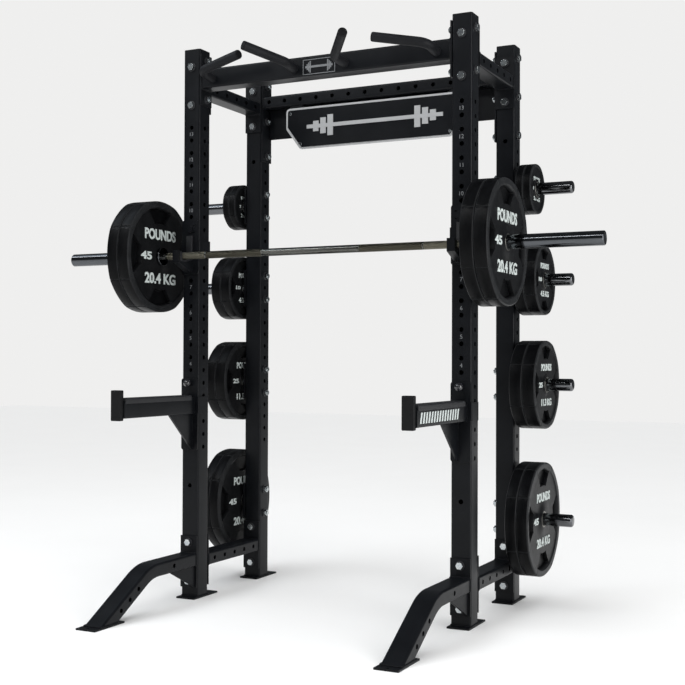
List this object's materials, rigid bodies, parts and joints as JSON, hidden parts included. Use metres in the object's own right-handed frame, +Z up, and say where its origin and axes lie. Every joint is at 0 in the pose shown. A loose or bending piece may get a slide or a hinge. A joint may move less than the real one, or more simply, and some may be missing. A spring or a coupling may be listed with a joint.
{
  "type": "power cage",
  "caption": "Half-depth power cage with forward feet, pull-up beam, holed uprights, bar catches holding a loaded barbell, safety arms and plate storage horns.",
  "frame": {"origin": "on the floor, at the middle of the bounding box", "axes": "+Z up; -Y is the front, where the feet and safety arms reach out; +X is to the right seen from the front; the object is symmetric about X"},
  "size_m": [2.2, 1.3886, 2.18],
  "materials": {
    "frame_paint": "satin",
    "plate_paint": "satin",
    "grip_texture": "textured",
    "cap_plastic": "matte",
    "liner_plastic": "matte",
    "badge_print": "matte",
    "sign_grey": "satin",
    "sign_black": "satin",
    "zinc": "bright",
    "black_zinc": "satin",
    "horn_chrome": "polished",
    "bar_steel": "knurled",
    "sleeve_chrome": "polished",
    "plate_rubber": "satin",
    "knob_plastic": "gloss"
  },
  "bodies": {
    "frame": {"base_plates": "plate_paint", "beam_badge": "badge_print", "frame_bolts": "zinc", "frame_nuts": "zinc", "frame_washers": "black_zinc", "front_left_upright": "frame_paint", "front_right_upright": "frame_paint", "grip_end_caps": "cap_plastic", "horn_brackets": "plate_paint", "inner_grips": "grip_texture", "left_bottom_member": "frame_paint", "left_horns": "horn_chrome", "left_leg": "frame_paint", "left_top_member": "frame_paint", "leg_flanges": "plate_paint", "leg_floor_plates": "plate_paint", "outer_grips": "grip_texture", "pull_up_beam": "frame_paint", "pull_up_beam_flanges": "plate_paint", "rear_beam": "frame_paint", "rear_flanges": "plate_paint", "rear_left_upright": "frame_paint", "rear_panel": "plate_paint", "rear_right_upright": "frame_paint", "right_bottom_member": "frame_paint", "right_horns": "horn_chrome", "right_leg": "frame_paint", "right_top_member": "frame_paint", "side_flanges": "plate_paint", "sign_border": "sign_grey", "sign_plate": "sign_black", "sign_screws": "zinc", "sign_straps": "plate_paint", "upright_caps": "cap_plastic"},
    "left_catch": {"left_bar_catch": "frame_paint", "left_catch_liner": "liner_plastic"},
    "left_arm": {"left_safety_arm": "frame_paint", "left_arm_liner": "liner_plastic", "left_arm_stop": "cap_plastic"},
    "left_pin": {"left_arm_pin": "knob_plastic"},
    "left_sleeve_body": {"left_sleeve": "sleeve_chrome"},
    "left_bar_pair": {"left_bar_plates": "plate_rubber"},
    "left_five_pair": {"left_five_plates": "plate_rubber"},
    "left_ten_pair": {"left_ten_plates": "plate_rubber"},
    "left_twentyfive_pair": {"left_twentyfive_plates": "plate_rubber"},
    "left_fortyfive_pair": {"left_fortyfive_plates": "plate_rubber"},
    "right_catch": {"right_bar_catch": "frame_paint", "right_catch_liner": "liner_plastic"},
    "right_arm": {"right_safety_arm": "frame_paint", "right_arm_liner": "liner_plastic", "right_arm_stop": "cap_plastic"},
    "right_pin": {"right_arm_pin": "knob_plastic"},
    "right_sleeve_body": {"right_sleeve": "sleeve_chrome"},
    "right_bar_pair": {"right_bar_plates": "plate_rubber"},
    "right_five_pair": {"right_five_plates": "plate_rubber"},
    "right_ten_pair": {"right_ten_plates": "plate_rubber"},
    "right_twentyfive_pair": {"right_twentyfive_plates": "plate_rubber"},
    "right_fortyfive_pair": {"right_fortyfive_plates": "plate_rubber"},
    "barbell": {"bar_shaft": "bar_steel"}
  },
  "joints": [
    {"name": "left_catch_pull", "type": "slide", "parent": "frame", "child": "left_catch", "axis": [0, -1, 0], "range_m": [0, 0.1]},
    {"name": "right_catch_pull", "type": "slide", "parent": "frame", "child": "right_catch", "axis": [0, -1, 0], "range_m": [0, 0.1]},
    {"name": "bar_lift", "type": "slide", "parent": "left_catch", "child": "barbell", "axis": [0, 0, 1], "range_m": [0, 0.3]},
    {"name": "left_sleeve_spin", "type": "hinge", "parent": "barbell", "child": "left_sleeve_body", "pos_m": [-0.88, -0.1173, 1.35], "axis": [1, 0, 0], "continuous": true},
    {"name": "left_bar_plates_off", "type": "slide", "parent": "left_sleeve_body", "child": "left_bar_pair", "axis": [-1, 0, 0], "range_m": [0, 0.44]},
    {"name": "left_five_plates_off", "type": "slide", "parent": "frame", "child": "left_five_pair", "axis": [-1, 0, 0], "range_m": [0, 0.21]},
    {"name": "left_ten_plates_off", "type": "slide", "parent": "frame", "child": "left_ten_pair", "axis": [-1, 0, 0], "range_m": [0, 0.21]},
    {"name": "left_twentyfive_plates_off", "type": "slide", "parent": "frame", "child": "left_twentyfive_pair", "axis": [-1, 0, 0], "range_m": [0, 0.21]},
    {"name": "left_fortyfive_plates_off", "type": "slide", "parent": "frame", "child": "left_fortyfive_pair", "axis": [-1, 0, 0], "range_m": [0, 0.21]},
    {"name": "left_arm_pull", "type": "slide", "parent": "frame", "child": "left_arm", "axis": [0, -1, 0], "range_m": [0, 0.1]},
    {"name": "left_pin_pull", "type": "slide", "parent": "left_arm", "child": "left_pin", "axis": [0, -1, 0], "range_m": [0, 0.022], "stiffness_N_per_m": 500, "springref_m": -0.01},
    {"name": "right_sleeve_spin", "type": "hinge", "parent": "barbell", "child": "right_sleeve_body", "pos_m": [0.88, -0.1173, 1.35], "axis": [1, 0, 0], "continuous": true},
    {"name": "right_bar_plates_off", "type": "slide", "parent": "right_sleeve_body", "child": "right_bar_pair", "axis": [1, 0, 0], "range_m": [0, 0.44]},
    {"name": "right_five_plates_off", "type": "slide", "parent": "frame", "child": "right_five_pair", "axis": [1, 0, 0], "range_m": [0, 0.21]},
    {"name": "right_ten_plates_off", "type": "slide", "parent": "frame", "child": "right_ten_pair", "axis": [1, 0, 0], "range_m": [0, 0.21]},
    {"name": "right_twentyfive_plates_off", "type": "slide", "parent": "frame", "child": "right_twentyfive_pair", "axis": [1, 0, 0], "range_m": [0, 0.21]},
    {"name": "right_fortyfive_plates_off", "type": "slide", "parent": "frame", "child": "right_fortyfive_pair", "axis": [1, 0, 0], "range_m": [0, 0.21]},
    {"name": "right_arm_pull", "type": "slide", "parent": "frame", "child": "right_arm", "axis": [0, -1, 0], "range_m": [0, 0.1]},
    {"name": "right_pin_pull", "type": "slide", "parent": "right_arm", "child": "right_pin", "axis": [0, -1, 0], "range_m": [0, 0.022], "stiffness_N_per_m": 500, "springref_m": -0.01}
  ],
  "couplings": [
    {"joint": "right_catch_pull", "follows": "left_catch_pull", "ratio": 1}
  ]
}
